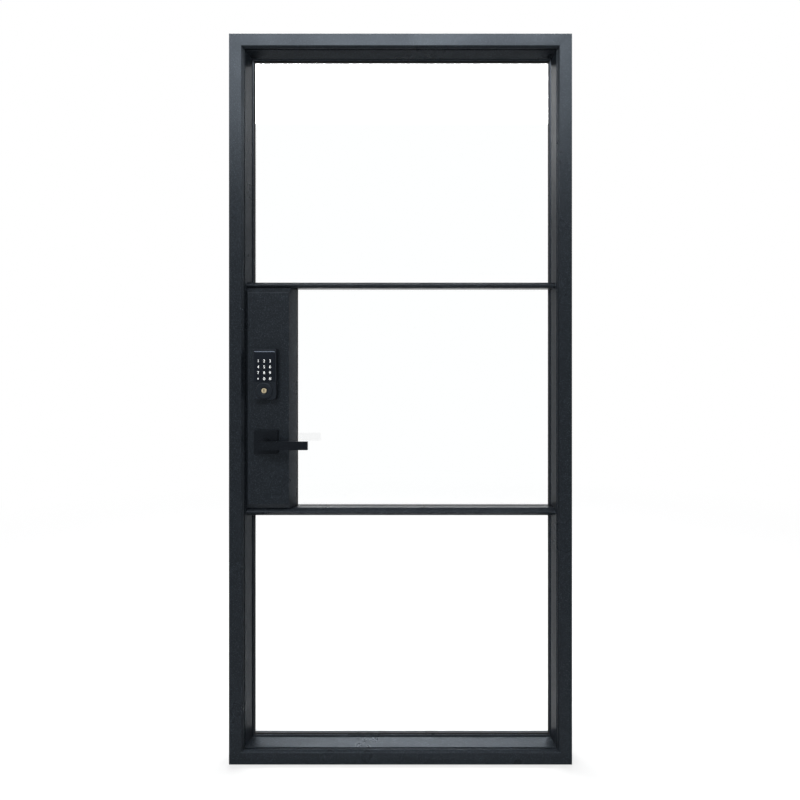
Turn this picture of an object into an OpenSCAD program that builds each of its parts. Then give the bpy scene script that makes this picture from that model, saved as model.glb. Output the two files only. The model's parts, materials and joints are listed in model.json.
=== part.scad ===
// Single-leaf steel and glass door in its own steel frame, with a keypad deadbolt
// and a lever latch. Millimetres, +Z up, outdoors at -Y, origin under the middle of the sill.

/* [Frame] */
// overall width of the frame
frame_w = 965; // [860:5:1100]
// overall height of the frame
frame_h = 2057; // [1980:1:2300]
// flat face of the frame seen from outdoors
face_w = 34; // [32:1:40]
// width of the sloping edge beside the face
chamfer_w = 6; // [4:0.5:8]
// depth of the sloping edge
chamfer_d = 7; // [5:0.5:8.5]
// thickness of the stop that the leaf closes against
stop_t = 10; // [9.5:0.5:14]
// width of the frame tube beside the leaf
tube_w = 28; // [26:0.5:30]
// wall of the frame and leaf tubes
wall = 2; // [1.5:0.1:2.5]
// gap round the edge of the leaf
edge_gap = 4.5; // [4.3:0.1:5]
// distance from the stop to the leaf, filled by the seal
seal_gap = 3; // [2.5:0.1:4]

/* [Leaf] */
// thickness of the leaf
leaf_t = 60; // [58:1:64]
// width of the splayed face round the glass
splay_w = 10.5; // [9:0.5:13]
// depth of the splayed face
splay_d = 31; // [29:0.5:33]
// width of the fixed glazing lip
lip_w = 4; // [3:0.5:6]
// thickness of the glazing lip
lip_t = 6; // [4:0.5:8]
// how far the shadow groove cuts in behind the splay
groove_w = 3; // [2:0.25:3.5]
// half height of the upper glazing bar
bar_half = 8; // [7:0.5:9]
// depth of a glazing bar's nose behind the leaf face
bar_ridge = 6; // [4:1:14]
// height of the upper glazing bar
bar_hi_z = 1351; // [1300:1:1420]
// height of the lower glazing bar
bar_lo_z = 706; // [660:1:740]
// half height of the lower glazing bar
bar_lo_half = 11; // [9:0.5:13]
// thickness of the glass
glass_t = 6; // [5:0.5:8]
// thickness of the glazing gasket
gasket_t = 2; // [1.5:0.1:2.5]
// how far the gasket shows inside the lip
gasket_show = 3; // [1.5:0.1:3.5]
// how far the gasket shows beside a glazing bar
gasket_bar = 0.5; // [0.3:0.1:2]

/* [Lock box] */
// from the leaf edge to the left edge of the box face
box_left = 16.5; // [16:0.5:17.5]
// width of the box face
box_face_w = 116.5; // [112:0.5:146]
// width of the sloping edges of the box
box_bevel = 14; // [10:0.5:16]
// depth of the slopes above and below the box face
box_rise = 9; // [6:0.5:12]
// depth of the groove between the stile and the box face
box_groove = 5; // [4:0.5:8]
// from the leaf edge to the lever and the deadbolt axes
backset = 70; // [66:1:75]
// height of the lever axis
lever_z = 907; // [880:1:940]
// height of the deadbolt axis
bolt_z = 1053; // [1040:1:1080]

/* [Lever set] */
// side of the square rosette
rosette = 67; // [62:1:70]
// thickness of the rosette
rosette_t = 10; // [8:0.5:12]
// length of the lever beyond its axis
lever_len = 127; // [110:1:135]
// how far the lever bar hangs below its axis
lever_drop = 4; // [0:0.5:5]
// height of the lever bar
lever_h = 23; // [20.5:0.5:28]
// thickness of the lever bar
lever_t = 10; // [8:0.5:12]
// from the box face to the back of the lever bar
lever_reach = 50; // [45:1:55]
// side of the square indoor knob
knob_w = 50; // [44:1:56]
// thickness of the indoor knob
knob_t = 22; // [16:0.5:28]
// from the back of the box to the indoor knob
knob_reach = 32; // [28:1:40]
// radius of the lever neck
neck_r = 9.5; // [9:0.25:10]
// side of the square spindle
spindle_w = 8; // [7:0.5:8]
// travel of the latch bolt
latch_throw = 12; // [10:0.5:12.5]

/* [Keypad lock] */
// width of the keypad housing
pad_w = 65; // [60:1:68]
// height of the keypad housing
pad_h = 142; // [141:1:150]
// depth of the keypad housing
pad_t = 24; // [20:0.5:28]
// distance from the deadbolt axis down to the foot of the housing
pad_foot = 26; // [25.5:0.5:28]
// radius of the two corners at the foot of the housing
pad_corner = 9; // [7:0.5:12]
// spacing of the keys
key_pitch = 16.5; // [16:0.1:16.8]
// side of a key cap
key_w = 11; // [10:0.1:11.5]
// travel of a key
key_travel = 1.2; // [0.8:0.1:1.5]
// outer radius of the cylinder collar
collar_r = 24; // [22:0.5:24.5]
// radius of the key plug
plug_r = 7; // [6:0.25:8]
// travel of the deadbolt
bolt_throw = 25; // [20:0.5:25]

/* [Hinges] */
// radius of the hinge barrels
barrel_r = 8.5; // [8:0.25:10]
// length of each barrel
barrel_len = 50; // [40:1:65]
// radius of the hinge pin
pin_r = 5; // [4:0.25:5.5]
// height of the lowest and distance down of the highest hinge
hinge_end = 250; // [200:5:300]

/* [Fixing] */
// radius of the anchor holes through the jambs
anchor_r = 4.5; // [3:0.25:6]
// distance of the outer anchor holes from each end
anchor_end = 180; // [120:5:220]
// distance of the inner anchor holes from each end
anchor_mid = 640; // [500:5:680]

/* [Hidden] */
$fn = 64;
run = 0.05;
slack = 0.3;

leaf_d0 = stop_t + seal_gap;
frame_d = leaf_d0 + leaf_t;
lip_edge = face_w + chamfer_w;
leaf_in = tube_w + edge_gap;
leaf_w = frame_w - 2 * leaf_in;
leaf_h = frame_h - 2 * leaf_in;
leaf_x = leaf_w / 2;
leaf_z0 = leaf_in;
leaf_z1 = leaf_in + leaf_h;
land = lip_edge + 1.5 - leaf_in;
reb = land + splay_w - 4;
sight = land + splay_w + lip_w;
lip_d = splay_d + 11;
nose = 1;
groove_e = land + splay_w - groove_w;
glass_e = lip_d + gasket_t;
bead_e = glass_e + glass_t;
web = 3;
ridge_h = 1;
slope = splay_w / splay_d;
steel = [0.13, 0.145, 0.16];
dark = [0.05, 0.055, 0.06];
rubber = [0.03, 0.03, 0.03];
silver = [0.62, 0.63, 0.64];

box_right = box_left + box_face_w;
box_base = box_right + box_bevel;
box_reb = box_base - 6;
box_lo = bar_lo_z + bar_lo_half;
box_hi = bar_hi_z - bar_half;
axis_x = backset - leaf_x;
mid_e = leaf_t / 2;
mid_y = yl(mid_e);
face_y = yl(0);
back_y = yl(leaf_t);

case_r = 12.7;
case_len = 20 + backset;
bolt_y = 12;
bolt_h = 18;
flange_t = 1;
strike_t = 1.2;
strike_h = 80;
bolt_hold = 27;
latch_len = backset - spindle_w / 2 - 2 - latch_throw;
dead_len = bolt_hold + bolt_throw;

pad_z0 = bolt_z - pad_foot;
pad_z1 = pad_z0 + pad_h;
socket_end = 5;
pad_wall = 2.5;
panel_w = pad_w - 8;
panel_z0 = bolt_z + collar_r + 1;
panel_z1 = pad_z1 - 6;
panel_t = 4;
panel_out = 2;
brow = 19;
row_pitch = (panel_z1 - panel_z0 - brow) / 4;
key_h = row_pitch - key_pitch + key_w;
key_z0 = panel_z0 + key_h / 2 + 3;
key_out = 0.8;
key_flange = 1;
hinge_x = frame_w / 2 - tube_w - edge_gap / 2;
hinge_y = frame_d / 2 + barrel_r + 0.5;
hinge_z = [frame_h - hinge_end, frame_h / 2, hinge_end];
key_names = ["key_1", "key_2", "key_3", "key_4", "key_5", "key_6", "key_7", "key_8", "key_9",
    "key_clear", "key_0", "key_enter"];

// depth from the outdoor face of the leaf turned into a Y coordinate
function yl(e) = e + leaf_d0 - frame_d / 2;

// section of a frame member: across from its outer edge, then depth from the outdoor face
function frame_section() = [[0, 0], [face_w, 0], [lip_edge, chamfer_d], [lip_edge, stop_t],
    [tube_w, stop_t], [tube_w, frame_d], [0, frame_d]];

// section of a leaf member: across from the leaf edge, then depth from the leaf face
function leaf_section() = [[0, 0], [land, 0], [land + splay_w, splay_d],
    [land + splay_w, splay_d + nose], [groove_e, splay_d + nose], [groove_e, lip_d - lip_t],
    [sight, lip_d - lip_t], [sight, lip_d], [reb, lip_d], [reb, leaf_t], [0, leaf_t]];

// the same with its groove filled, for what is cut to fit over it
function leaf_cope() = [[0, 0], [land, 0], [land + splay_w, splay_d],
    [land + splay_w, lip_d - lip_t], [sight, lip_d - lip_t], [sight, lip_d], [reb, lip_d],
    [reb, leaf_t], [0, leaf_t]];

// inside of a leaf tube
function leaf_bore() = [[wall, wall], [land - wall, wall],
    [reb - wall, wall + (reb - land) / slope], [reb - wall, leaf_t - wall], [wall, leaf_t - wall]];

// rebate rectangles of the three lights, then how far each side of the lip covers the glass
function light_top() = [reb - leaf_x, bar_hi_z + web, leaf_x - reb, leaf_z1 - reb];
function light_mid() = [box_reb - leaf_x, bar_lo_z + web, leaf_x - reb, bar_hi_z - web];
function light_low() = [reb - leaf_x, leaf_z0 + reb, leaf_x - reb, bar_lo_z - web];
function cover_top() = [sight - reb, bar_half - web, sight - reb, sight - reb];
function cover_mid() = [box_base - box_reb, bar_lo_half - web, sight - reb, bar_half - web];
function cover_low() = [sight - reb, sight - reb, sight - reb, bar_lo_half - web];

// how far the gasket of each light shows on each side
function show_top() = [gasket_show, gasket_bar, gasket_show, gasket_show];
function show_mid() = [gasket_show, gasket_bar, gasket_show, gasket_bar];
function show_low() = [gasket_show, gasket_show, gasket_show, gasket_bar];

// a rectangle drawn in by a different amount on each side
function inset(r, c) = [r[0] + c[0], r[1] + c[1], r[2] - c[2], r[3] - c[3]];

module prism_x(points, length) {
    rotate([90, 0, 90])
        linear_extrude(length)
            polygon(points);
}

module prism_y(points, length) {
    translate([0, length, 0])
        rotate([90, 0, 0])
            linear_extrude(length)
                polygon(points);
}

module prism_z(points, length) {
    linear_extrude(length)
        polygon(points);
}

module rod_x(r, length) {
    rotate([0, 90, 0])
        cylinder(r = r, h = length);
}

module rod_y(r, length) {
    rotate([-90, 0, 0])
        cylinder(r = r, h = length);
}

// a rectangle in X and Z, extruded indoors from y
module slab(r, y, t) {
    translate([r[0], y, r[1]])
        cube([r[2] - r[0], t, r[3] - r[1]]);
}

// a length of section with both ends mitred towards the inside of the corner
module mitred(section, width, depth, length) {
    intersection() {
        prism_z(section, length);
        prism_y([[0, 0], [width, width], [width, length - width], [0, length]], depth);
    }
}

module frame_member(length) {
    difference() {
        mitred(frame_section(), lip_edge, frame_d, length);
        translate([wall, wall, -1])
            cube([tube_w - 2 * wall, frame_d - 2 * wall, length + 2]);
    }
}

module leaf_member(length) {
    difference() {
        mitred(leaf_section(), sight, leaf_t, length);
        translate([0, 0, -1])
            prism_z(leaf_bore(), length + 2);
    }
}

// anchor holes along X through both walls of a jamb whose outer face is at x = 0
module anchor_holes() {
    for (z = [anchor_end, anchor_mid, frame_h - anchor_mid, frame_h - anchor_end])
        translate([-1, frame_d / 2 + mid_y, z])
            rod_x(anchor_r, tube_w + 2);
}

// pocket and screw holes behind one strike plate, in the inner wall of the jamb
module strike_pocket(z) {
    translate([tube_w - wall - 1, frame_d / 2 + mid_y, z]) {
        translate([0, -bolt_y / 2 - 1, -bolt_h / 2 - 1])
            cube([wall + 2, bolt_y + 2, bolt_h + 2]);
        for (s = [-1, 1])
            translate([0, 0, s * (strike_h / 2 - 7)])
                rod_x(2 + run, wall + 2);
    }
}

module jamb_lock() {
    color(steel)
        translate([-frame_w / 2, -frame_d / 2, 0])
            difference() {
                frame_member(frame_h);
                anchor_holes();
                strike_pocket(lever_z);
                strike_pocket(bolt_z);
            }
}

module jamb_hinge() {
    color(steel)
        mirror([1, 0, 0])
            translate([-frame_w / 2, -frame_d / 2, 0])
                difference() {
                    frame_member(frame_h);
                    anchor_holes();
                }
}

module head() {
    color(steel)
        translate([-frame_w / 2, -frame_d / 2, frame_h])
            rotate([0, 90, 0])
                frame_member(frame_w);
}

module sill() {
    color(steel)
        translate([-frame_w / 2, -frame_d / 2, 0])
            mirror([0, 0, 1])
                rotate([0, 90, 0])
                    frame_member(frame_w);
}

// one loop of soft seal on the back of the stop
module frame_seal() {
    outer = [face_w - frame_w / 2, face_w, frame_w / 2 - face_w, frame_h - face_w];
    color(rubber)
        difference() {
            slab(outer, stop_t - frame_d / 2, seal_gap - slack);
            slab(inset(outer, [4, 4, 4, 4]), stop_t - frame_d / 2 - 1, seal_gap + 2);
        }
}

module strike(z) {
    color(silver)
        translate([tube_w - frame_w / 2, mid_y, z])
            difference() {
                translate([0, -14, -strike_h / 2])
                    cube([strike_t, 28, strike_h]);
                translate([-1, -bolt_y / 2 - 0.5, -bolt_h / 2 - 0.5])
                    cube([strike_t + 2, bolt_y + 1, bolt_h + 1]);
                for (s = [-1, 1])
                    translate([0, 0, s * (strike_h / 2 - 7)]) {
                        translate([-1, 0, 0])
                            rod_x(2 + run, strike_t + 2);
                        translate([strike_t - 0.8, 0, 0])
                            rod_x(3.5 + run, 2);
                    }
            }
}

module strike_latch() {
    strike(lever_z);
}

module strike_bolt() {
    strike(bolt_z);
}

module strike_screws() {
    color(silver)
        for (z = [lever_z, bolt_z])
            for (s = [-1, 1])
                translate([tube_w - frame_w / 2, mid_y, z + s * (strike_h / 2 - 7)]) {
                    translate([-8, 0, 0])
                        rod_x(2, 8 + strike_t - 0.4);
                    translate([strike_t - 0.8, 0, 0])
                        rod_x(3.5, 0.8);
                }
}

// frame half of a hinge: the lower barrel with its weld plate on the back of the jamb
module hinge_frame(z) {
    color(steel)
        difference() {
            union() {
                translate([hinge_x, hinge_y, z - 0.5 - barrel_len])
                    cylinder(r = barrel_r, h = barrel_len);
                translate([hinge_x, frame_d / 2, z - 0.5 - barrel_len])
                    cube([tube_w - 2, 3, barrel_len]);
            }
            translate([hinge_x, hinge_y, z - barrel_len - 2])
                cylinder(r = pin_r + run, h = barrel_len + 4);
        }
}

// leaf half of a hinge: the upper barrel with its weld plate on the back of the stile
module hinge_leaf(z) {
    color(steel)
        difference() {
            union() {
                translate([hinge_x, hinge_y, z + 0.5])
                    cylinder(r = barrel_r, h = barrel_len);
                translate([leaf_x - reb, frame_d / 2, z + 0.5])
                    cube([hinge_x - leaf_x + reb, 3, barrel_len]);
            }
            translate([hinge_x, hinge_y, z - 1])
                cylinder(r = pin_r + run, h = barrel_len + 4);
        }
}

module hinge_pins() {
    color(silver)
        for (z = hinge_z) {
            translate([hinge_x, hinge_y, z - barrel_len - 4.5])
                cylinder(r = barrel_r - 1, h = 4);
            translate([hinge_x, hinge_y, z - barrel_len - 1])
                cylinder(r = pin_r, h = 2 * barrel_len);
        }
}

// clearance for the round lock cases, from the leaf edge into the box
module case_holes() {
    for (z = [lever_z, bolt_z])
        translate([-leaf_x - 1, mid_y, z])
            rod_x(case_r + run, case_len + 2);
}

module stile_lock() {
    color(steel)
        difference() {
            translate([-leaf_x, face_y, leaf_z0])
                leaf_member(leaf_h);
            case_holes();
        }
}

module stile_hinge() {
    color(steel)
        mirror([1, 0, 0])
            translate([-leaf_x, face_y, leaf_z0])
                leaf_member(leaf_h);
}

module rail_top() {
    color(steel)
        translate([-leaf_x, face_y, leaf_z1])
            rotate([0, 90, 0])
                leaf_member(leaf_w);
}

module rail_bottom() {
    color(steel)
        translate([-leaf_x, face_y, leaf_z0])
            mirror([0, 0, 1])
                rotate([0, 90, 0])
                    leaf_member(leaf_w);
}

// a bar with a square-cut nose outdoors, cut to the shape of the stiles it meets
module glazing_bar(z, half) {
    nose = bar_ridge + half - ridge_h;
    color(steel)
        difference() {
            translate([-leaf_x + land, face_y, z])
                prism_x([[bar_ridge, -ridge_h], [nose, -half], [lip_d, -half], [lip_d, -web],
                    [leaf_t, -web], [leaf_t, web], [lip_d, web], [lip_d, half], [nose, half],
                    [bar_ridge, ridge_h]],
                    leaf_w - 2 * land);
            for (s = [0, 1])
                mirror([s, 0, 0])
                    translate([-leaf_x, face_y, z - 30])
                        prism_z(leaf_cope(), 60);
        }
}

module bar_upper() {
    glazing_bar(bar_hi_z, bar_half);
}

module bar_lower() {
    glazing_bar(bar_lo_z, bar_lo_half);
}

// room inside the lock box, also the outline of its back plate
module box_room(e0, e1) {
    intersection() {
        translate([-leaf_x, face_y, box_lo])
            prism_z([[box_left + wall, e0], [box_right - wall - 0.6, e0],
                [box_reb - wall, e0 + 17], [box_reb - wall, e1], [sight + wall, e1],
                [sight + wall, 24], [box_left + wall, 19]], box_hi - box_lo);
        slab([-leaf_x, box_lo + box_bevel + wall, leaf_x, box_hi - box_bevel - wall],
            face_y + e0, e1 - e0);
    }
}

module lock_box() {
    color(steel)
        difference() {
            intersection() {
                translate([-leaf_x, face_y, box_lo - 10])
                    prism_z([[box_left, 0], [box_right, 0], [box_base, splay_d], [box_base, lip_d],
                        [box_reb, lip_d], [box_reb, leaf_t], [reb, leaf_t], [reb, lip_d],
                        [sight, lip_d], [sight, lip_d - lip_t], [land + splay_w, lip_d - lip_t],
                        [land + splay_w, splay_d],
                        [land + box_groove * slope, box_groove]], box_hi - box_lo + 20);
                translate([-leaf_x, face_y, 0])
                    prism_x([[0, box_lo + box_bevel], [box_rise, box_lo], [lip_d, box_lo],
                        [lip_d, bar_lo_z + web], [leaf_t, bar_lo_z + web], [leaf_t, bar_hi_z - web],
                        [lip_d, bar_hi_z - web], [lip_d, box_hi], [box_rise, box_hi],
                        [0, box_hi - box_bevel]], leaf_w);
            }
            box_room(wall, leaf_t + 1);
            case_holes();
            for (z = [lever_z, bolt_z])
                translate([axis_x, face_y - 1, z])
                    rod_y(22, wall + 2);
        }
}

module lock_box_back() {
    color(steel)
        difference() {
            intersection() {
                box_room(wall, leaf_t + 1);
                slab([-leaf_x, 0, leaf_x, frame_h], back_y - wall, wall);
            }
            for (z = [lever_z, bolt_z])
                translate([axis_x, back_y - wall - 1, z])
                    rod_y(22, wall + 2);
        }
}

module pane(r) {
    color([0.75, 0.85, 0.82, 0.35])
        slab(inset(r, [2, 2, 2, 2]), yl(glass_e), glass_t);
}

module gasket(r, cover, show) {
    color(rubber)
        difference() {
            slab(r, yl(lip_d), gasket_t);
            slab(inset(r, cover + show), yl(lip_d) - 1, gasket_t + 2);
        }
}

// four loose beads that hold one pane from indoors
module bead(r, cover) {
    s = inset(r, cover);
    t = leaf_t - bead_e;
    color(steel) {
        slab([r[0], r[1], r[2], s[1]], yl(bead_e), t);
        slab([r[0], s[3], r[2], r[3]], yl(bead_e), t);
        slab([r[0], s[1] + slack, s[0], s[3] - slack], yl(bead_e), t);
        slab([s[2], s[1] + slack, r[2], s[3] - slack], yl(bead_e), t);
    }
}

module glass_top() {
    pane(light_top());
}

module glass_mid() {
    pane(light_mid());
}

module glass_low() {
    pane(light_low());
}

module gasket_top() {
    gasket(light_top(), cover_top(), show_top());
}

module gasket_mid() {
    gasket(light_mid(), cover_mid(), show_mid());
}

module gasket_low() {
    gasket(light_low(), cover_low(), show_low());
}

module bead_top() {
    bead(light_top(), cover_top());
}

module bead_mid() {
    bead(light_mid(), cover_mid());
}

module bead_low() {
    bead(light_low(), cover_low());
}

// outline of the keypad housing, drawn in by g, with rounder corners at the foot
module pad_outline(g) {
    w = pad_w / 2 - g;
    r = pad_corner - g;
    z = pad_z0 + g;
    translate([-w, z + r])
        square([2 * w, pad_h - 2 * g - r]);
    translate([r - w, z])
        square([2 * (w - r), r]);
    for (s = [-1, 1])
        translate([s * (w - r), z + r])
            circle(r);
}

module pad_solid(g, y, t) {
    translate([axis_x, y + t, 0])
        rotate([90, 0, 0])
            linear_extrude(t)
                pad_outline(g);
}

module keypad_housing() {
    color(dark)
        difference() {
            pad_solid(0, face_y - pad_t, pad_t);
            pad_solid(pad_wall, face_y - pad_t + 2 * pad_wall, pad_t);
            slab([axis_x - panel_w / 2, panel_z0, axis_x + panel_w / 2, panel_z1],
                face_y - pad_t - 1, 1 + panel_t - panel_out);
            slab([axis_x - panel_w / 2 + 2.5, panel_z0 + 1.2, axis_x + panel_w / 2 - 2.5, panel_z1 - 8],
                face_y - pad_t - 1, 4 * pad_wall);
            translate([axis_x, face_y - pad_t - 1, bolt_z])
                rod_y(17 + run, pad_t);
        }
}

function key_x(i) = axis_x + (i % 3 - 1) * key_pitch;
function key_z(i) = key_z0 + (3 - floor(i / 3)) * row_pitch;

module keypad_panel() {
    color(dark)
        difference() {
            slab([axis_x - panel_w / 2, panel_z0, axis_x + panel_w / 2, panel_z1],
                face_y - pad_t - panel_out, panel_t);
            for (i = [0 : 11])
                translate([key_x(i) - key_w / 2 - slack, face_y - pad_t - panel_out - 1,
                    key_z(i) - key_h / 2 - slack])
                    cube([key_w + 2 * slack, panel_t + 2, key_h + 2 * slack]);
        }
}

// circuit board behind the keys, resting on the inside of the housing
module keypad_board() {
    w = pad_w / 2 - pad_wall;
    y = face_y - pad_t - panel_out + panel_t + slack + 1.5 + key_travel + slack;
    color([0.05, 0.2, 0.1])
        slab([axis_x - w, panel_z0 + 3, axis_x + w, pad_z1 - pad_wall], y, 1.6);
}

module key_cap(i) {
    y = face_y - pad_t - panel_out;
    color(dark)
        translate([key_x(i), y, key_z(i)]) {
            translate([-key_w / 2, -key_out, -key_h / 2])
                cube([key_w, key_out + panel_t + slack + 1, key_h]);
            translate([-key_w / 2 - key_flange, panel_t + slack, -key_h / 2 - key_flange])
                cube([key_w + 2 * key_flange, 1.5, key_h + 2 * key_flange]);
        }
}

module lock_cylinder() {
    color(silver)
        translate([axis_x, face_y - pad_t, bolt_z])
            difference() {
                union() {
                    translate([0, -5, 0])
                        rod_y(collar_r, 5);
                    rod_y(17, 20);
                }
                translate([0, -6, 0])
                    rod_y(plug_r + run, 27);
            }
}

module key_plug() {
    color([0.75, 0.6, 0.3])
        translate([axis_x, face_y - pad_t - 5, bolt_z])
            difference() {
                rod_y(plug_r, 23);
                translate([-1.2, -1, -4.5])
                    cube([2.4, 19, 9]);
            }
}

// square plate with a running bore for the lever neck, its back on y = 0
module rosette_plate() {
    color(steel)
        difference() {
            translate([-rosette / 2, -rosette_t, -rosette / 2])
                cube([rosette, rosette_t, rosette]);
            translate([0, -rosette_t - 1, 0])
                rod_y(neck_r + run, rosette_t + 2);
        }
}

// flat lever with a round neck and a square socket, for a box face on y = 0
module lever_bar() {
    color(steel)
        difference() {
            union() {
                translate([0, -lever_reach - 1, 0])
                    rod_y(neck_r, lever_reach);
                slab([-neck_r, -lever_h / 2 - lever_drop, lever_len, lever_h / 2 - lever_drop],
                    -lever_reach - lever_t, lever_t);
            }
            translate([-spindle_w / 2, -lever_reach + socket_end, -spindle_w / 2])
                cube([spindle_w, lever_reach, spindle_w]);
        }
}

module rosette_outer() {
    translate([axis_x, face_y, lever_z])
        rosette_plate();
}

module rosette_inner() {
    translate([axis_x, back_y, lever_z])
        mirror([0, 1, 0])
            rosette_plate();
}

module lever_outer() {
    translate([axis_x, face_y, lever_z])
        lever_bar();
}

// square knob on a round neck, with a socket for the spindle
module knob_inner() {
    color(steel)
        translate([axis_x, back_y, lever_z])
            difference() {
                union() {
                    translate([0, 1, 0])
                        rod_y(neck_r, knob_reach);
                    translate([-knob_w / 2, knob_reach, -knob_w / 2])
                        cube([knob_w, knob_t, knob_w]);
                }
                translate([-spindle_w / 2, 0, -spindle_w / 2])
                    cube([spindle_w, knob_reach - socket_end, spindle_w]);
            }
}

module spindle() {
    length = leaf_t + lever_reach + knob_reach - 2 * socket_end;
    color(silver)
        translate([axis_x - spindle_w / 2, face_y - lever_reach + socket_end, lever_z - spindle_w / 2])
            cube([spindle_w, length, spindle_w]);
}

// round case with its face plate, cut for the bolt and for the cross shaft
module bolt_tube(z) {
    color(silver)
        translate([-leaf_x, mid_y, z])
            difference() {
                union() {
                    rod_x(case_r, case_len);
                    translate([-flange_t, -14, -28])
                        cube([flange_t, 28, 56]);
                }
                translate([0.5, 0, 0])
                    rod_x(case_r - 1.4, case_len - 3);
                translate([-flange_t - 1, -bolt_y / 2 - slack, -bolt_h / 2 - slack])
                    cube([5, bolt_y + 2 * slack, bolt_h + 2 * slack]);
                translate([backset, -20, 0])
                    rod_y(6.5, 40);
            }
}

module latch_case() {
    bolt_tube(lever_z);
}

module bolt_case() {
    bolt_tube(bolt_z);
}

module latch_bolt() {
    h = bolt_y / 2;
    color(silver)
        translate([-leaf_x - flange_t, mid_y, lever_z - bolt_h / 2])
            prism_z([[0, h], [0, h - 3], [9, -h], [latch_len, -h], [latch_len, h]], bolt_h);
}

module deadbolt() {
    h = bolt_y / 2;
    color(silver)
        translate([-leaf_x - flange_t, mid_y, bolt_z - bolt_h / 2])
            prism_z([[1, -h], [dead_len, -h], [dead_len, h], [1, h], [0, h - 1], [0, 1 - h]], bolt_h);
}

module indoor_cover() {
    w = pad_w / 2 + 4;
    d = 38;
    color(dark)
        difference() {
            slab([axis_x - w, pad_z0 - 4, axis_x + w, pad_z1 + 4], back_y, d);
            slab([axis_x - w + 2.5, pad_z0 - 1.5, axis_x + w - 2.5, pad_z1 + 1.5], back_y - 1, d - 1.5);
            translate([axis_x, back_y, bolt_z])
                rod_y(6 + run, d + 2);
        }
}

// knob on a shaft, with the flat blade that reaches through the bolt case
module thumbturn() {
    color(silver)
        translate([axis_x, back_y, bolt_z]) {
            translate([0, 28, 0])
                rod_y(6, 12);
            translate([0, 38.4, 0])
                rod_y(15, 4);
            translate([-4.5, 42, -19])
                cube([9, 13, 38]);
            translate([-1.25, -leaf_t + 2, -4])
                cube([2.5, leaf_t + 30, 8]);
        }
}

jamb_lock();
jamb_hinge();
head();
sill();
frame_seal();
strike_latch();
strike_bolt();
strike_screws();
hinge_frame(hinge_z[0]);  // hinge_top_frame
hinge_frame(hinge_z[1]);  // hinge_mid_frame
hinge_frame(hinge_z[2]);  // hinge_low_frame
hinge_pins();
stile_lock();
stile_hinge();
rail_top();
rail_bottom();
bar_upper();
bar_lower();
lock_box();
lock_box_back();
glass_top();
glass_mid();
glass_low();
gasket_top();
gasket_mid();
gasket_low();
bead_top();
bead_mid();
bead_low();
hinge_leaf(hinge_z[0]);  // hinge_top_leaf
hinge_leaf(hinge_z[1]);  // hinge_mid_leaf
hinge_leaf(hinge_z[2]);  // hinge_low_leaf
keypad_housing();
keypad_panel();
keypad_board();
lock_cylinder();
rosette_outer();
rosette_inner();
latch_case();
bolt_case();
indoor_cover();
lever_outer();
knob_inner();
spindle();
latch_bolt();
deadbolt();
thumbturn();
key_plug();
for (i = [0 : 11])
    key_cap(i);
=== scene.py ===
"""Looks of a single-leaf steel and glass door in its frame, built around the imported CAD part.

The painted members, the lock furniture and the keys are redrawn with eased edges in the place
of their CAD nodes. The panes, seals, bolts and strikes keep their CAD shape and get a finish.
"""

import json
import logging
import math
from collections.abc import Callable
from dataclasses import dataclass
from enum import Enum

import bmesh
import bpy
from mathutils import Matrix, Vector


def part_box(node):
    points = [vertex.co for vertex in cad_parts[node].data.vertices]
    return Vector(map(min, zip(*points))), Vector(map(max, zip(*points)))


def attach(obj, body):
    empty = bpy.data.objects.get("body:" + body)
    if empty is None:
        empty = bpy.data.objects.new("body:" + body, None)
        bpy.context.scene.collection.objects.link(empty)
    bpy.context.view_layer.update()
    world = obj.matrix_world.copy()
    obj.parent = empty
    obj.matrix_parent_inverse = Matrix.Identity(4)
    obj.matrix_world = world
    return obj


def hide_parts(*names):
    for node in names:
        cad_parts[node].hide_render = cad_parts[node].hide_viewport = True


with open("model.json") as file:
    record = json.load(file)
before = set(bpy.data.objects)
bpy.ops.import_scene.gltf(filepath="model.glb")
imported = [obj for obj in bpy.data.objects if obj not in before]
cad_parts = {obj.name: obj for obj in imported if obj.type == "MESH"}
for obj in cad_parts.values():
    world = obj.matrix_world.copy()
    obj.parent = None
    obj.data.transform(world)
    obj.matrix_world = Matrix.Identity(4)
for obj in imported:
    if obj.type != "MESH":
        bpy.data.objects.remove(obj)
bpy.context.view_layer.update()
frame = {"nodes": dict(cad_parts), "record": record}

LOG = logging.getLogger("door")

MM = 0.001
WELD_GAP = 0.002 * MM  # Corners nearer than this are one corner.
FLAT_ANGLE = math.radians(0.5)  # Faces that meet at less than this are one flat.
ARRIS_ANGLE = math.radians(25)  # Faces that meet at this or more have an arris between them.
SMOOTH_ANGLE = math.radians(40)  # Faces that meet at more than this are shaded apart.
PARALLEL = 0.999  # Cosine past which an edge runs along an axis.
ROUND = 0.5  # Profile of a rounding that is part of a circle.
FRONT_SKIN = 1.0  # Depth behind a piece's foremost point that counts as its front, in mm.
NOISE_BODY = (0.3, 0.7)  # Most of a noise texture's values lie between these.
WHITE = "#ffffff"

Colour = tuple[float, float, float, float]
Place = tuple[float, float, float]
Span = tuple[float, float]
EdgeTest = Callable[[Vector, Vector], bool]
Reshape = Callable[[bmesh.types.BMesh], None]

BODY_OF: dict[str, str] = {
    node: body
    for body, nodes in frame["record"]["behaviour"]["bodies"].items()
    for node in nodes
}
SLOT_OF: dict[str, str] = {
    part["node"]: part["material_slot"] for part in frame["record"]["subparts"]
}
SIGN_OF_KEY: dict[str, str] = {
    **{str(digit): str(digit) for digit in range(10)}, "clear": "*", "enter": "#"
}


class Axis(Enum):
    """The run of a member's long edges or of a metal's tool lines."""

    ACROSS = Vector((1, 0, 0))
    THROUGH = Vector((0, 1, 0))
    UP = Vector((0, 0, 1))


class Level(Enum):
    """The three heights at which the door has a hinge and a pane."""

    TOP = "top"
    MIDDLE = "mid"
    LOW = "low"


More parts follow.
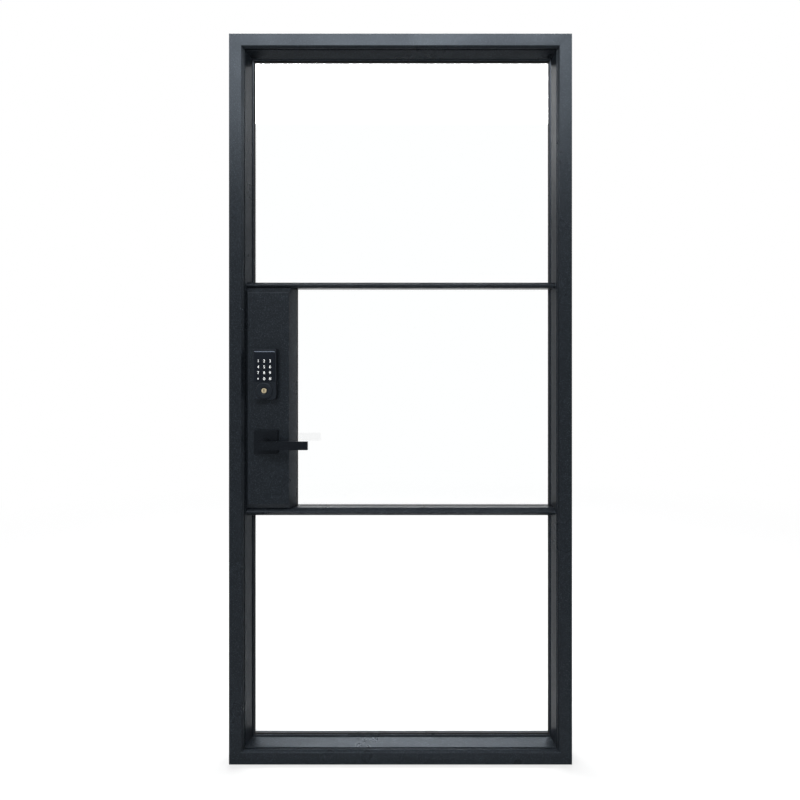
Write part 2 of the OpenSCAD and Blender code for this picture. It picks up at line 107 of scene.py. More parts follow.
def linear(code: str) -> Colour:
    """Turns an sRGB colour into linear light, by the standard's straight foot and power curve.

    Args:
        code: The colour as #rrggbb.

    Returns:
        Linear red, green and blue, with an alpha of 1.
    """
    channels = (int(code[i:i + 2], 16) / 255 for i in (1, 3, 5))
    red, green, blue = (
        c / 12.92 if c <= 0.04045 else ((c + 0.055) / 1.055) ** 2.4 for c in channels
    )
    return red, green, blue, 1.0


def feed(
    tree: bpy.types.NodeTree, node: bpy.types.Node, inputs: dict[str | int, object]
) -> None:
    """Sets or links a node's sockets.

    Args:
        tree: The tree that holds the node.
        node: The node.
        inputs: Values for its sockets, or sockets to link to them.
    """
    for name, value in inputs.items():
        if isinstance(value, bpy.types.NodeSocket):
            tree.links.new(value, node.inputs[name])
        else:
            node.inputs[name].default_value = value


def add_node(
    tree: bpy.types.NodeTree,
    kind: str,
    settings: dict[str, object] | None = None,
    inputs: dict[str | int, object] | None = None,
) -> bpy.types.Node:
    """Adds a node to a tree.

    Args:
        tree: The tree that gets the node.
        kind: The node's type name.
        settings: Properties to set on the node.
        inputs: Values for its sockets, or sockets to link to them.

    Returns:
        The new node.
    """
    node = tree.nodes.new(kind)
    for name, value in (settings or {}).items():
        setattr(node, name, value)
    feed(tree, node, inputs or {})
    return node


def seen_directly(tree: bpy.types.NodeTree) -> bpy.types.NodeSocket:
    """Tells what is seen from what only lights the scene.

    Args:
        tree: The tree that asks.

    Returns:
        A socket that is 1 for what the eye, a mirror or a pane sees, and else 0.
    """
    path = add_node(tree, "ShaderNodeLightPath").outputs
    straight = add_node(tree, "ShaderNodeMath", {"operation": "ADD"}, {
        0: path["Is Camera Ray"], 1: path["Is Glossy Ray"]})
    seen = add_node(tree, "ShaderNodeMath", {"operation": "ADD", "use_clamp": True}, {
        0: straight.outputs[0], 1: path["Is Transmission Ray"]})
    return seen.outputs[0]


@dataclass(frozen=True)
class Finish:
    """A surface finish.

    Attributes:
        name: The real material and how its surface was made.
        colour: Its main colour, as sRGB hex.
        roughness: How far its gloss is spread.
    """

    name: str
    colour: str
    roughness: float

    def material(self) -> bpy.types.Material:
        """Gives the finish's material, made when it is first asked for.

        Returns:
            The material.
        """
        known = bpy.data.materials.get(self.name)
        if known:
            return known
        made = bpy.data.materials.new(self.name)
        made.diffuse_color = linear(self.colour)
        made.use_nodes = True
        shader = made.node_tree.nodes["Principled BSDF"]
        feed(made.node_tree, shader, {
            "Base Color": linear(self.colour), "Roughness": self.roughness})
        self.detail(made.node_tree, shader)
        return made

    def detail(self, tree: bpy.types.NodeTree, shader: bpy.types.Node) -> None:
        """Adds the finish's own detail to its shader.

        Args:
            tree: The material's node tree.
            shader: Its principled shader.
        """
        raise NotImplementedError


@dataclass(frozen=True)
class PowderCoat(Finish):
    """Polyester powder baked on metal: a satin skin with fine orange peel and pale specks.

    Attributes:
        fleck: Colour of the pale specks.
        sheen: Tint of the skin's mirror layer.
        gloss: Strength of that layer.
        peel_mm: Width of one bump of orange peel, drawn coarser than the real 1 mm to show.
        peel_depth_mm: Height of one bump.
        peel_strength: Share of that height that is drawn.
        fleck_mm: Width of one speck, drawn coarser than the real 0.3 mm to show.
        fleck_range: Noise levels between which a speck fades in.
        fleck_share: Share of the speck's colour at its middle.
        cloud_mm: Width of the slow drift in gloss from spraying.
        cloud_drift: How much smoother and how much rougher the drift makes the skin.
    """

    fleck: str = "#2d3238"
    sheen: str = "#e0efff"
    gloss: float = 0.35
    peel_mm: float = 3.0
    peel_depth_mm: float = 0.12
    peel_strength: float = 0.35
    fleck_mm: float = 2.4
    fleck_range: Span = (0.54, 0.72)
    fleck_share: float = 0.8
    cloud_mm: float = 140.0
    cloud_drift: Span = (0.03, 0.04)

    def detail(self, tree: bpy.types.NodeTree, shader: bpy.types.Node) -> None:
        """Adds drift in gloss, specks and orange peel to the shader.

        Args:
            tree: The material's node tree.
            shader: Its principled shader.
        """
        place = add_node(tree, "ShaderNodeTexCoord").outputs["Object"]
        cloud, grain, peel = (
            add_node(tree, "ShaderNodeTexNoise", inputs={
                "Vector": place, "Scale": 1 / (width * MM), "Detail": octaves})
            for width, octaves in (
                (self.cloud_mm, 3.0), (self.fleck_mm, 1.0), (self.peel_mm, 2.0)))
        speck = add_node(tree, "ShaderNodeMapRange", inputs={
            "Value": grain.outputs["Fac"],
            "From Min": self.fleck_range[0], "From Max": self.fleck_range[1],
            "To Max": self.fleck_share})
        base = add_node(tree, "ShaderNodeMix", {"data_type": "RGBA"}, {
            "Factor": speck.outputs["Result"],
            "A": linear(self.colour), "B": linear(self.fleck)})
        smoother, rougher = self.cloud_drift
        satin = add_node(tree, "ShaderNodeMapRange", inputs={
            "Value": cloud.outputs["Fac"],
            "From Min": NOISE_BODY[0], "From Max": NOISE_BODY[1],
            "To Min": self.roughness - smoother, "To Max": self.roughness + rougher})
        bump = add_node(tree, "ShaderNodeBump", inputs={
            "Height": peel.outputs["Fac"],
            "Strength": self.peel_strength, "Distance": self.peel_depth_mm * MM})
        feed(tree, shader, {
            "Base Color": base.outputs["Result"],
            "Roughness": satin.outputs["Result"],
            "Normal": bump.outputs["Normal"],
            "Specular IOR Level": self.gloss,
            "Specular Tint": linear(self.sheen)})


@dataclass(frozen=True)
class FloatGlass(Finish):
    """Clear soda-lime float glass: both faces mirror, and its mass is faintly green.

    Attributes:
        ior: Its refractive index.
        film_mm: Width of the faint smears that cleaning leaves.
        film_range: Noise levels between which a smear fades in.
        film_haze: How much rougher a smear is than clean glass.
    """

    ior: float = 1.52
    film_mm: float = 260.0
    film_range: Span = (0.45, 0.75)
    film_haze: float = 0.02

    def detail(self, tree: bpy.types.NodeTree, shader: bpy.types.Node) -> None:
        """Makes the shader clear, with faint smears in its gloss.

        Args:
            tree: The material's node tree.
            shader: Its principled shader.
        """
        place = add_node(tree, "ShaderNodeTexCoord").outputs["Object"]
        film = add_node(tree, "ShaderNodeTexNoise", inputs={
            "Vector": place, "Scale": 1 / (self.film_mm * MM), "Detail": 4.0})
        smear = add_node(tree, "ShaderNodeMapRange", inputs={
            "Value": film.outputs["Fac"],
            "From Min": self.film_range[0], "From Max": self.film_range[1],
            "To Min": self.roughness, "To Max": self.roughness + self.film_haze})
        feed(tree, shader, {
            "Roughness": smear.outputs["Result"],
            "Transmission Weight": 1.0,
            "IOR": self.ior})


@dataclass(frozen=True)
class ExtrudedRubber(Finish):
    """Extruded EPDM rubber: matt, with a dusty bloom that greys it in patches.

    Attributes:
        bloom: Colour of the bloom.
        gloss: Strength of the mirror layer.
        grain_mm: Width of the skin's grain, drawn coarser than the real 0.3 mm to show.
        grain_depth_mm: Height of the grain.
        grain_strength: Share of that height that is drawn.
    """

    bloom: str = "#1c1d1e"
    gloss: float = 0.3
    grain_mm: float = 1.2
    grain_depth_mm: float = 0.1
    grain_strength: float = 0.15

    def detail(self, tree: bpy.types.NodeTree, shader: bpy.types.Node) -> None:
        """Adds bloom and grain to the shader.

        Args:
            tree: The material's node tree.
            shader: Its principled shader.
        """
        place = add_node(tree, "ShaderNodeTexCoord").outputs["Object"]
        grain = add_node(tree, "ShaderNodeTexNoise", inputs={
            "Vector": place, "Scale": 1 / (self.grain_mm * MM), "Detail": 3.0})
        base = add_node(tree, "ShaderNodeMix", {"data_type": "RGBA"}, {
            "Factor": grain.outputs["Fac"],
            "A": linear(self.colour), "B": linear(self.bloom)})
        bump = add_node(tree, "ShaderNodeBump", inputs={
            "Height": grain.outputs["Fac"],
            "Strength": self.grain_strength, "Distance": self.grain_depth_mm * MM})
        feed(tree, shader, {
            "Base Color": base.outputs["Result"],
            "Normal": bump.outputs["Normal"],
            "Specular IOR Level": self.gloss})


@dataclass(frozen=True)
class MouldedPolymer(Finish):
    """Moulded or cast plastic: an even colour under a spark-eroded, printed or polished skin.

    Attributes:
        worn: Colour of the skin's high spots.
        gloss: Strength of the mirror layer.
        sheen: Tint of that layer.
        skin_mm: Width of the skin's texture, drawn coarser than the real 0.2 mm to show.
        skin_depth_mm: Height of the texture.
        skin_strength: Share of that height that is drawn.
    """

    worn: str = "#202225"
    gloss: float = 0.5
    sheen: str = WHITE
    skin_mm: float = 0.9
    skin_depth_mm: float = 0.08
    skin_strength: float = 0.2

    def detail(self, tree: bpy.types.NodeTree, shader: bpy.types.Node) -> None:
        """Adds the skin to the shader.

        Args:
            tree: The material's node tree.
            shader: Its principled shader.
        """
        place = add_node(tree, "ShaderNodeTexCoord").outputs["Object"]
        skin = add_node(tree, "ShaderNodeTexNoise", inputs={
            "Vector": place, "Scale": 1 / (self.skin_mm * MM), "Detail": 2.0})
        base = add_node(tree, "ShaderNodeMix", {"data_type": "RGBA"}, {
            "Factor": skin.outputs["Fac"],
            "A": linear(self.colour), "B": linear(self.worn)})
        bump = add_node(tree, "ShaderNodeBump", inputs={
            "Height": skin.outputs["Fac"],
            "Strength": self.skin_strength, "Distance": self.skin_depth_mm * MM})
        feed(tree, shader, {
            "Base Color": base.outputs["Result"],
            "Normal": bump.outputs["Normal"],
            "Specular IOR Level": self.gloss,
            "Specular Tint": linear(self.sheen)})


@dataclass(frozen=True)
class WorkedMetal(Finish):
    """Bare metal that was drawn or turned: fine lines along the tool's path.

    Attributes:
        tarnish: Colour of the duller lines.
        line_mm: Spacing of the tool lines, drawn coarser than the real 0.1 mm to show.
        line_stretch: How many times longer than wide a line is.
        line_depth_mm: Depth of a line.
        line_strength: Share of that depth that is drawn.
        line_drift: How much smoother and how much rougher the lines make the metal.
        run: The way that the lines run.
    """

    tarnish: str = "#8d9092"
    line_mm: float = 0.6
    line_stretch: float = 40.0
    line_depth_mm: float = 0.05
    line_strength: float = 0.1
    line_drift: Span = (0.06, 0.08)
    run: Axis = Axis.UP

    def detail(self, tree: bpy.types.NodeTree, shader: bpy.types.Node) -> None:
        """Adds tool lines and tarnish to the shader.

        Args:
            tree: The material's node tree.
            shader: Its principled shader.
        """
        place = add_node(tree, "ShaderNodeTexCoord").outputs["Object"]
        squeeze = [1 / self.line_stretch if part else 1.0 for part in self.run.value]
        lines_at = add_node(tree, "ShaderNodeMapping", inputs={
            "Vector": place, "Scale": squeeze})
        lines = add_node(tree, "ShaderNodeTexNoise", inputs={
            "Vector": lines_at.outputs["Vector"], "Scale": 1 / (self.line_mm * MM),
            "Detail": 2.0})
        base = add_node(tree, "ShaderNodeMix", {"data_type": "RGBA"}, {
            "Factor": lines.outputs["Fac"],
            "A": linear(self.colour), "B": linear(self.tarnish)})
        smoother, rougher = self.line_drift
        spread = add_node(tree, "ShaderNodeMapRange", inputs={
            "Value": lines.outputs["Fac"],
            "From Min": NOISE_BODY[0], "From Max": NOISE_BODY[1],
            "To Min": self.roughness - smoother, "To Max": self.roughness + rougher})
        bump = add_node(tree, "ShaderNodeBump", inputs={
            "Height": lines.outputs["Fac"],
            "Strength": self.line_strength, "Distance": self.line_depth_mm * MM})
        feed(tree, shader, {
            "Base Color": base.outputs["Result"],
            "Roughness": spread.outputs["Result"],
            "Normal": bump.outputs["Normal"],
            "Metallic": 1.0})


@dataclass(frozen=True)
class FloorPaint(Finish):
    """Matt floor paint put on with a roller: it keeps the door's shadow and fades to white.

    Attributes:
        gloss: Strength of the mirror layer.
        lift: Share of the floor's white that needs no lamp, beside the door.
        shadow_reach: Distances between which that share grows to all of it, in metres.
    """

    gloss: float = 0.1
    lift: float = 0.55
    shadow_reach: Span = (1.6, 4.5)

    def detail(self, tree: bpy.types.NodeTree, shader: bpy.types.Node) -> None:
        """Whitens what the eye, a mirror or a pane sees of the floor.

        Args:
            tree: The material's node tree.
            shader: Its principled shader.
        """
        feed(tree, shader, {"Specular IOR Level": self.gloss})
        white = add_node(tree, "ShaderNodeEmission", inputs={
            "Color": linear(WHITE), "Strength": 1.0})
        place = add_node(tree, "ShaderNodeTexCoord").outputs["Object"]
        away = add_node(tree, "ShaderNodeVectorMath", {"operation": "LENGTH"}, {0: place})
        near, far = self.shadow_reach
        share = add_node(tree, "ShaderNodeMapRange", {"interpolation_type": "SMOOTHSTEP"}, {
            "Value": away.outputs["Value"], "From Min": near, "From Max": far,
            "To Min": self.lift, "To Max": 1.0})
        lifted = add_node(tree, "ShaderNodeMath", {"operation": "MULTIPLY"}, {
            0: seen_directly(tree), 1: share.outputs["Result"]})
        mixed = add_node(tree, "ShaderNodeMixShader", inputs={
            0: lifted.outputs[0], 1: shader.outputs[0], 2: white.outputs[0]})
        feed(tree, tree.nodes["Material Output"], {"Surface": mixed.outputs[0]})


# Satin charcoal with a trace of blue: dark where it faces the ground, silver under the sky,
# and lightly speckled close by.
STEEL_COAT = PowderCoat("satin_charcoal_powder_coat", "#0b0e11", 0.29, gloss=0.16)
# The deepest black on the door, with hardly a highlight: the lever reads as a silhouette.
LEVER_COAT = PowderCoat(
    "satin_black_baked_on_zinc", "#0a0c0f", 0.34, fleck="#181c20", gloss=0.08)
# A drier black whose broad, dim highlight rounds the edges of the lock's housing.
LOCK_COAT = PowderCoat(
    "matt_black_baked_on_zinc", "#0f1216", 0.38, fleck="#1c2024", gloss=0.12)
# Clear enough to vanish from the front, with a weak mirror image of what stands before it.
CLEAR_GLASS = FloatGlass("clear_float_glass", "#feffff", 0.0)
# A dull black line round each pane, greyed a little by bloom.
GLAZING_RUBBER = ExtrudedRubber("extruded_epdm_glazing_rubber", "#0b0b0c", 0.62)
# A softer, greyer black with an open grain, in the gap behind the stop.
SEAL_FOAM = ExtrudedRubber("skinned_epdm_foam", "#101112", 0.75, grain_mm=2.0)
# A dark mirror with a blue cast: black from the front, one crisp light line on its brow.
KEY_ACRYLIC = MouldedPolymer(
    "polished_black_acrylic", "#06080b", 0.12, worn="#0a0d12", gloss=0.17,
    sheen="#d6e6ff", skin_mm=6.0, skin_strength=0.02)
# An even dark grey with a fine pebbled skin that spreads the light.
COVER_ABS = MouldedPolymer("spark_eroded_black_abs", "#131517", 0.5)
# Deep green under a thin shine, with the glass cloth just showing as lighter patches.
BOARD_LACQUER = MouldedPolymer(
    "lacquered_glass_fibre_board", "#14532d", 0.35, worn="#1d6b3d", skin_mm=1.5)
# A flat, opaque white, very slightly uneven in tone as a printing pad leaves it.
NUMERAL_INK = MouldedPolymer(
    "pad_printed_white_ink", "#f2f3f1", 0.5, worn="#e4e6e4", skin_mm=0.4,
    skin_strength=0.05)
# Cool pale silver, with draw lines that stretch its highlights along the piece.
ZINC_STEEL = WorkedMetal("zinc_plated_drawn_steel", "#b9bcbe", 0.34)
# Pale gold, dulled in fine grains where the tool cut its face.
TURNED_BRASS = WorkedMetal(
    "turned_brass", "#cfc2a4", 0.28, tarnish="#8f8468", run=Axis.THROUGH)
# A pale matt ground with no mirror image, only a soft shadow.
FLOOR_PAINT = FloorPaint("rolled_matt_floor_paint", "#c6c6c5", 0.9)

FINISH_OF_SLOT: dict[str, Finish] = {
    "painted_steel": STEEL_COAT,
    "clear_glass": CLEAR_GLASS,
    "soft_seal": SEAL_FOAM,
    "glazing_rubber": GLAZING_RUBBER,
    "bare_steel": ZINC_STEEL,
    "lever_black": LEVER_COAT,
    "lock_black": LOCK_COAT,
    "cover_plastic": COVER_ABS,
    "key_gloss": KEY_ACRYLIC,
    "board_green": BOARD_LACQUER,
    "plug_brass": TURNED_BRASS,
}


def finish_of(node: str) -> Finish:
    """Returns the finish of a CAD node's material slot."""
    return FINISH_OF_SLOT[SLOT_OF[node]]


def box_mm(node: str) -> tuple[Vector, Vector]:
    """Returns a CAD node's lowest and highest corners at rest, in millimetres."""
    low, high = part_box(node)
    return low / MM, high / MM


def along(axis: Axis) -> EdgeTest:
    """Returns a test that picks the edges which run along an axis."""
    return lambda middle, run: abs(run.dot(axis.value)) > PARALLEL


def outdoors_of(depth: float) -> EdgeTest:
    """Returns a test that picks the edges on the outdoor side of a depth in millimetres."""
    return lambda middle, run: middle.y < depth


def indoors_of(depth: float) -> EdgeTest:
    """Returns a test that picks the edges on the indoor side of a depth in millimetres."""
    return lambda middle, run: middle.y > depth


def round_front(node: str, margin: float) -> EdgeTest:
    """Makes a test that picks the edges round a node's front face.

    Args:
        node: The CAD node.
        margin: How near the node's outline such an edge lies, in millimetres.

    Returns:
        The test.
    """
    low, high = box_mm(node)

    def near_outline(middle: Vector, run: Vector) -> bool:
        """Says whether an edge is at the front and near the outline.

        Args:
            middle: The edge's middle, in millimetres.
            run: The edge's direction.

        Returns:
            Whether it is.
        """
        aside = min(middle.x - low.x, high.x - middle.x)
        above = min(middle.z - low.z, high.z - middle.z)
        return middle.y <= low.y + FRONT_SKIN and min(aside, above) <= margin

    return near_outline


def is_arris(edge: bmesh.types.BMEdge) -> bool:
    """Says whether an edge is an outward corner that is sharp enough to be rounded."""
    return edge.is_manifold and edge.is_convex and edge.calc_face_angle() >= ARRIS_ANGLE


def whole_copy(node: str) -> bmesh.types.BMesh:
    """Copies a CAD node's mesh with its corners joined and its flat faces made whole.

    Args:
        node: The CAD node.

    Returns:
        The copy, for the caller to free.
    """
    shape = bmesh.new()
    shape.from_mesh(frame["nodes"][node].data)
    bmesh.ops.remove_doubles(shape, verts=shape.verts, dist=WELD_GAP)
    bmesh.ops.dissolve_limit(
        shape, angle_limit=FLAT_ANGLE, verts=shape.verts, edges=shape.edges)
    bmesh.ops.recalc_face_normals(shape, faces=shape.faces)
    return shape


def softened(name: str, shape: bmesh.types.BMesh) -> bpy.types.Object:
    """Turns a working mesh into an object with smooth rounds and crisp flats.

    Args:
        name: The piece's name.
        shape: The working mesh, which is freed.

    Returns:
        The object, not yet in the scene.
    """
    for face in shape.faces:
        face.smooth = True
    mesh = bpy.data.meshes.new(name)
    shape.to_mesh(mesh)
    shape.free()
    mesh.set_sharp_from_angle(angle=SMOOTH_ANGLE)
    piece = bpy.data.objects.new(name, mesh)
    weighted = piece.modifiers.new("flat_faces", "WEIGHTED_NORMAL")
    weighted.keep_sharp = True
    return piece


def seat(piece: bpy.types.Object, body: str, finish: Finish) -> None:
    """Finishes a new piece, rides it on its body and reports it.

    Args:
        piece: The new piece, with its mesh in the shared frame.
        body: The CAD body that carries it.
        finish: Its finish.
    """
    bpy.context.scene.collection.objects.link(piece)
    piece.data.materials.append(finish.material())
    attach(piece, body)
    LOG.info("%s rides on %s in %s", piece.name, body, finish.name)


def ease(
    node: str,
    width: float,
    chosen: EdgeTest | None = None,
    segments: int = 3,
    reshape: Reshape | None = None,
) -> None:
    """Redraws a CAD node with rounded arrises, in the node's place.

    Args:
        node: The CAD node.
        width: Width of the rounding, in millimetres.
        chosen: Which arrises are rounded, by their middle in millimetres and their direction.
        segments: Steps in the rounding.
        reshape: A change to the shape before its arrises are rounded.
    """
    shape = whole_copy(node)
    if reshape:
        reshape(shape)
    arrises = []
    for edge in filter(is_arris, shape.edges):
        start, end = (corner.co for corner in edge.verts)
        middle, run = (start + end) / 2 / MM, (end - start).normalized()
        if chosen is None or chosen(middle, run):
            arrises.append(edge)
    bmesh.ops.bevel(
        shape, geom=arrises, offset=width * MM, offset_type="OFFSET", segments=segments,
        profile=ROUND, affect="EDGES", clamp_overlap=True)
    piece = softened(f"{node}_eased", shape)
    seat(piece, BODY_OF[node], finish_of(node))
    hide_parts(node)


@dataclass
class Assembly:
    """A part of the door, which builds its meshes and then dresses the nodes that it keeps.

    Attributes:
        kept: The CAD nodes that are shown in their own shape.
    """

    kept: tuple[str, ...] = ()

    def build(self) -> None:
        """Redraws the pieces whose edges are rounded."""
        raise NotImplementedError

    def dress(self) -> None:
        """Gives each kept node the finish of its slot and reports it."""
        for node in self.kept:
            finish = finish_of(node)
            for held in frame["nodes"][node].material_slots:
                held.material = finish.material()
            LOG.info("%s keeps its CAD shape in %s", node, finish.name)


@dataclass
class SteelFrame(Assembly):
    """The fixed frame: four mitred tubes, their seal, strikes and hinge halves.

    Attributes:
        kept: The CAD nodes that are shown in their own shape.
        arris: Rounding of the tubes' long edges, in millimetres.
        barrel_arris: Rounding of the hinge barrels' ends, in millimetres.
    """

    kept: tuple[str, ...] = (
        "frame_seal", "strike_latch", "strike_bolt", "strike_screws", "hinge_pins")
    arris: float = 1.0
    barrel_arris: float = 1.0

    def build(self) -> None:
        """Redraws the tubes and the hinge barrels."""
        for upright in ("jamb_lock", "jamb_hinge"):
            ease(upright, self.arris, along(Axis.UP))
        for crosspiece in ("head", "sill"):
            ease(crosspiece, self.arris, along(Axis.ACROSS))
        for level in Level:
            ease(f"hinge_{level.value}_frame", self.barrel_arris)


@dataclass
class Leaf(Assembly):
    """The swinging leaf: its mitred members, bars, panes and hinge halves.

    Attributes:
        kept: The CAD nodes that are shown in their own shape.
        arris: Rounding of the members' long edges, in millimetres.
        bar_arris: Rounding of the glazing bars' long edges, in millimetres.
        barrel_arris: Rounding of the hinge barrels' ends, in millimetres.
    """

    kept: tuple[str, ...] = tuple(
        f"{kind}_{level.value}" for level in Level for kind in ("glass", "gasket", "bead"))
    arris: float = 0.9
    bar_arris: float = 0.8
    barrel_arris: float = 1.0

    def build(self) -> None:
        """Redraws the members, the bars and the hinge barrels."""
        for upright in ("stile_lock", "stile_hinge"):
            ease(upright, self.arris, along(Axis.UP))
        for crosspiece in ("rail_top", "rail_bottom"):
            ease(crosspiece, self.arris, along(Axis.ACROSS))
        for bar in ("bar_upper", "bar_lower"):
            ease(bar, self.bar_arris, along(Axis.ACROSS))
        for level in Level:
            ease(f"hinge_{level.value}_leaf", self.barrel_arris)

    def dress(self) -> None:
        """Finishes the panes, rubbers and beads, and lets the lamps through the panes."""
        super().dress()
        for level in Level:
            # Clear glass throws no shadow of its own to speak of.
            frame["nodes"][f"glass_{level.value}"].visible_shadow = False


@dataclass
class LockBox(Assembly):
    """The steel box that carries the locks, with what it holds inside.

    Attributes:
        kept: The CAD nodes that are shown in their own shape.
        arris: Rounding of the box's edges, in millimetres.
    """

    kept: tuple[str, ...] = (
        "lock_box_back", "latch_case", "bolt_case", "latch_bolt", "deadbolt", "spindle")
    arris: float = 1.0

    def build(self) -> None:
        """Redraws the box."""
        ease("lock_box", self.arris)


@dataclass
class LeverSet(Assembly):
    """The outdoor lever and the indoor knob on their rosettes.

    Attributes:
        rosette_arris: Rounding of the rosettes' edges, in millimetres.
        lever_arris: Rounding of the edges of lever and knob, in millimetres.
    """

    rosette_arris: float = 1.4
    lever_arris: float = 0.7

    def build(self) -> None:
        """Redraws the rosettes, the lever and the knob."""
        for rosette in ("rosette_outer", "rosette_inner"):
            ease(rosette, self.rosette_arris)
        for handle in ("lever_outer", "knob_inner"):
            ease(handle, self.lever_arris)


@dataclass
class KeypadLock(Assembly):
    """The keypad deadbolt: housing, panel, keys with numerals, cylinder and indoor cover.

    Attributes:
        kept: The CAD nodes that are shown in their own shape.
        housing_arris: Rounding of the housing's front edge, in millimetres.
        housing_margin: Width of the housing's border, in millimetres.
        housing_steps: Steps in the housing's rounding.
        panel_arris: Rounding of the panel's edge, in millimetres.
        panel_margin: Width of the panel's border, in millimetres.
        brow: Height of the panel's sloping top strip, in millimetres.
        brow_lean: How far that strip leans back.
        key_arris: Rounding of a key's edges, in millimetres.
        collar_arris: Rounding of the cylinder's collar, in millimetres.
        collar_steps: Steps in the collar's rounding.
        plug_arris: Rounding of the key plug, in millimetres.
        indoor_depth: Depth past which the indoor pieces are rounded, in millimetres.
        cover_arris: Rounding of the indoor cover, in millimetres.
        turn_arris: Rounding of the thumbturn, in millimetres.
        numeral_size: Type size of the numerals, in millimetres.
        ink: Thickness of the printed numerals, in millimetres.
    """

    kept: tuple[str, ...] = ("keypad_board",)
    housing_arris: float = 2.4
    housing_margin: float = 4.5
    housing_steps: int = 4
    panel_arris: float = 0.4
    panel_margin: float = 1.0
    brow: float = 7.0
    brow_lean: float = math.radians(16)
    key_arris: float = 0.5
    collar_arris: float = 4.2
    collar_steps: int = 6
    plug_arris: float = 0.4
    indoor_depth: float = 60.0
    cover_arris: float = 3.0
    turn_arris: float = 1.5
    numeral_size: float = 11.5
    ink: float = 0.05

    def build(self) -> None:
        """Redraws the lock's pieces and prints its numerals."""
        ease("keypad_housing", self.housing_arris,
             round_front("keypad_housing", self.housing_margin), self.housing_steps)
        ease("keypad_panel", self.panel_arris,
             round_front("keypad_panel", self.panel_margin), reshape=self.lean_brow)
        for key, sign in SIGN_OF_KEY.items():
            ease(f"key_{key}", self.key_arris)
            self.print_sign(key, sign)
        housing_face = box_mm("keypad_housing")[0].y
        proud = outdoors_of(housing_face - FRONT_SKIN)
        ease("lock_cylinder", self.collar_arris, proud, self.collar_steps)
        ease("key_plug", self.plug_arris, proud)
        ease("indoor_cover", self.cover_arris, indoors_of(self.indoor_depth))
        ease("thumbturn", self.turn_arris, indoors_of(self.indoor_depth))

    def lean_brow(self, shape: bmesh.types.BMesh) -> None:
        """Leans the panel's top strip back, so that it mirrors the high lamp.

        Args:
            shape: The panel's working mesh.
        """
        low, high = box_mm("keypad_panel")
        front, foot = (low.y + FRONT_SKIN) * MM, (high.z - self.brow) * MM
        bmesh.ops.bisect_plane(
            shape, geom=[*shape.verts, *shape.edges, *shape.faces],
            plane_co=(0.0, 0.0, foot), plane_no=Axis.UP.value)
        for corner in shape.verts:
            if corner.co.y < front and corner.co.z > foot:
                corner.co.y += (corner.co.z - foot) * math.tan(self.brow_lean)

    def print_sign(self, key: str, sign: str) -> None:
        """Prints the numeral or sign on one key.

        Args:
            key: The key's name.
            sign: What is printed on it.
        """
        letters = bpy.data.curves.new(f"mark_{key}", "FONT")
        letters.body = sign
        letters.size = self.numeral_size * MM
        letters.extrude = self.ink * MM
        letters.align_x = "CENTER"
        letters.align_y = "CENTER"
        drawn = bpy.data.objects.new(f"drawing_{key}", letters)
        bpy.context.scene.collection.objects.link(drawn)
        bpy.context.view_layer.update()
        mesh = bpy.data.meshes.new_from_object(
            drawn.evaluated_get(bpy.context.evaluated_depsgraph_get()))
        bpy.data.objects.remove(drawn)
        across = [corner.co.x for corner in mesh.vertices]
        up = [corner.co.y for corner in mesh.vertices]
        centre_x, centre_y = (min(across) + max(across)) / 2, (min(up) + max(up)) / 2
        low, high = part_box(f"key_{key}")
        middle = (low + high) / 2
        for corner in mesh.vertices:
            corner.co = Vector((
                middle.x + corner.co.x - centre_x,
                low.y - corner.co.z,
                middle.z + corner.co.y - centre_y))
        piece = bpy.data.objects.new(f"numeral_{key}", mesh)
        seat(piece, f"key_{key}", NUMERAL_INK)


@dataclass(frozen=True)
class Softbox:
    """A soft rectangular lamp.

    Attributes:
        name: Its name.
        place: Where it hangs, in metres.
        aim: The point that it faces, in metres.
        size: Its width and height, in metres.
        power: Its power, in watts.
    """

    name: str
    place: Place
    aim: Place
    size: Span
    power: float

    def hang(self) -> None:
        """Hangs the lamp in the scene."""
        lamp = bpy.data.lights.new(self.name, "AREA")
        lamp.shape = "RECTANGLE"
        lamp.size, lamp.size_y = self.size
        lamp.energy = self.power
        hung = bpy.data.objects.new(self.name, lamp)
        hung.location = self.place
        sight = Vector(self.aim) - Vector(self.place)
        hung.rotation_euler = sight.to_track_quat("-Z", "Y").to_euler()
        bpy.context.scene.collection.objects.link(hung)


DOOR_HEAD: Place = (0.0, 0.0, 1.9)  # The upper part of the door, which most lamps face.
SOFTBOXES: tuple[Softbox, ...] = (
    # High in front: the head and the upper jambs mirror it.
    Softbox("front_softbox", place=(-0.45, -5.06, 4.37), aim=(-0.1, 0.0, 1.9),
            size=(4.2, 1.5), power=430.0),
    # Overhead and behind: it lights the faces that look up.
    Softbox("overhead_softbox", place=(-0.25, 2.1, 5.0), aim=(-0.1, 0.6, 0.0),
            size=(3.2, 1.5), power=265.0),
    # Behind and at both sides: they give the upper splays and chamfers their sheen.
    Softbox("back_softbox", place=(0.0, 4.0, 4.0), aim=DOOR_HEAD,
            size=(10.0, 1.6), power=130.0),
    Softbox("left_softbox", place=(-5.5, -0.8, 3.9), aim=DOOR_HEAD,
            size=(2.4, 1.4), power=84.0),
    Softbox("right_softbox", place=(5.5, -0.8, 3.9), aim=DOOR_HEAD,
            size=(2.4, 1.4), power=84.0),
)


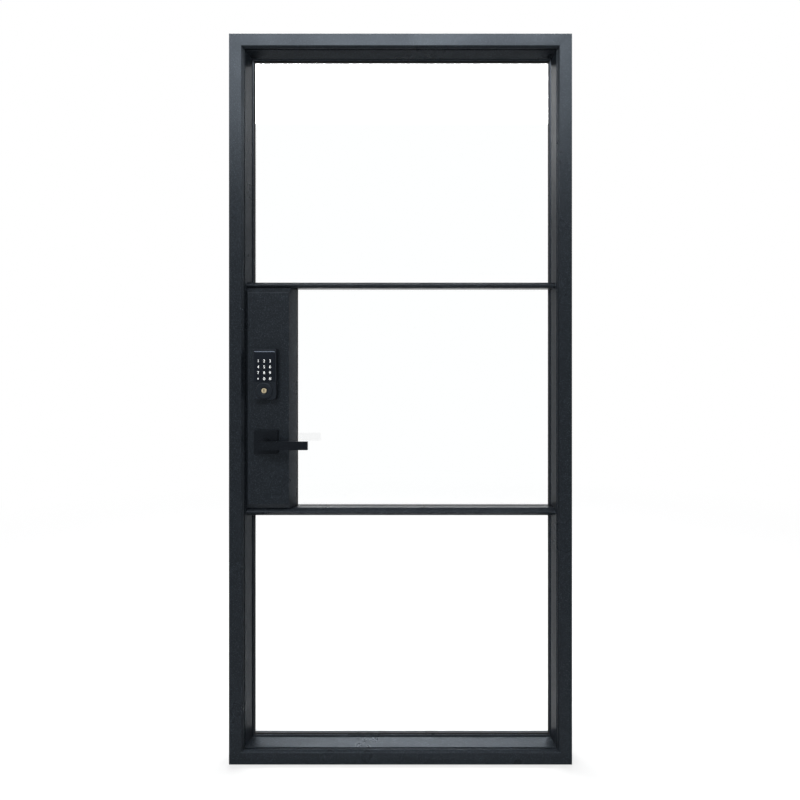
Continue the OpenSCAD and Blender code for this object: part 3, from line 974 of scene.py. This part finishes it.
@dataclass
class Studio:
    """The plain pale floor, the soft lamps, the white surround and the camera.

    Attributes:
        floor_size: Width of the floor, in metres.
        floor_cells: Number of cells along each side of the floor.
        floor_drop: How far the floor lies below the sill, in millimetres.
        fill: Strength of the surround as a lamp.
        fill_colour: Colour of that light.
        eye: Place of the camera, in metres.
        lens: Focal length of the camera, in millimetres.
        sensor: Width of its sensor, in millimetres.
        shift: Sideways and upward shift of its frame, small because other views keep it.
    """

    floor_size: float = 40.0
    floor_cells: int = 8
    floor_drop: float = 0.2
    fill: float = 0.4
    fill_colour: str = "#f2f6ff"
    eye: Place = (0.112, -1.9365, 1.16)
    lens: float = 30.4
    sensor: float = 36.0
    shift: Span = (-0.0504, -0.0596)

    def build(self) -> None:
        """Lays the floor and sets the surround, lamps and camera."""
        self.lay_floor()
        self.set_surround()
        for softbox in SOFTBOXES:
            softbox.hang()
        self.set_camera()
        bpy.context.scene.view_settings.view_transform = "Standard"

    def lay_floor(self) -> None:
        """Lays the pale floor just below the sill."""
        shape = bmesh.new()
        bmesh.ops.create_grid(
            shape, x_segments=self.floor_cells, y_segments=self.floor_cells,
            size=self.floor_size / 2)
        mesh = bpy.data.meshes.new("floor")
        shape.to_mesh(mesh)
        shape.free()
        mesh.materials.append(FLOOR_PAINT.material())
        floor = bpy.data.objects.new("floor", mesh)
        floor.location.z = -self.floor_drop * MM
        bpy.context.scene.collection.objects.link(floor)

    def set_surround(self) -> None:
        """Surrounds the scene with white that lights it only softly."""
        world = bpy.data.worlds.new("white_surround")
        world.use_nodes = True
        tree = world.node_tree
        soft = tree.nodes["Background"]
        feed(tree, soft, {"Color": linear(self.fill_colour), "Strength": self.fill})
        white = add_node(tree, "ShaderNodeBackground", inputs={
            "Color": linear(WHITE), "Strength": 1.0})
        mixed = add_node(tree, "ShaderNodeMixShader", inputs={
            0: seen_directly(tree), 1: soft.outputs[0], 2: white.outputs[0]})
        feed(tree, tree.nodes["World Output"], {"Surface": mixed.outputs[0]})
        bpy.context.scene.world = world

    def set_camera(self) -> None:
        """Stands the level camera in front of the door."""
        camera = bpy.data.cameras.new("camera")
        camera.lens = self.lens
        camera.sensor_width = self.sensor
        camera.shift_x, camera.shift_y = self.shift
        stood = bpy.data.objects.new("camera", camera)
        stood.location = self.eye
        stood.rotation_euler = (math.radians(90), 0.0, 0.0)
        bpy.context.scene.collection.objects.link(stood)
        bpy.context.scene.camera = stood


def main() -> None:
    """Sets up the studio, then builds and dresses every part of the door, in order."""
    logging.basicConfig(level=logging.INFO, format="%(message)s")
    Studio().build()
    for assembly in (SteelFrame(), Leaf(), LockBox(), LeverSet(), KeypadLock()):
        assembly.build()
        assembly.dress()


if __name__ == "__main__":
    main()
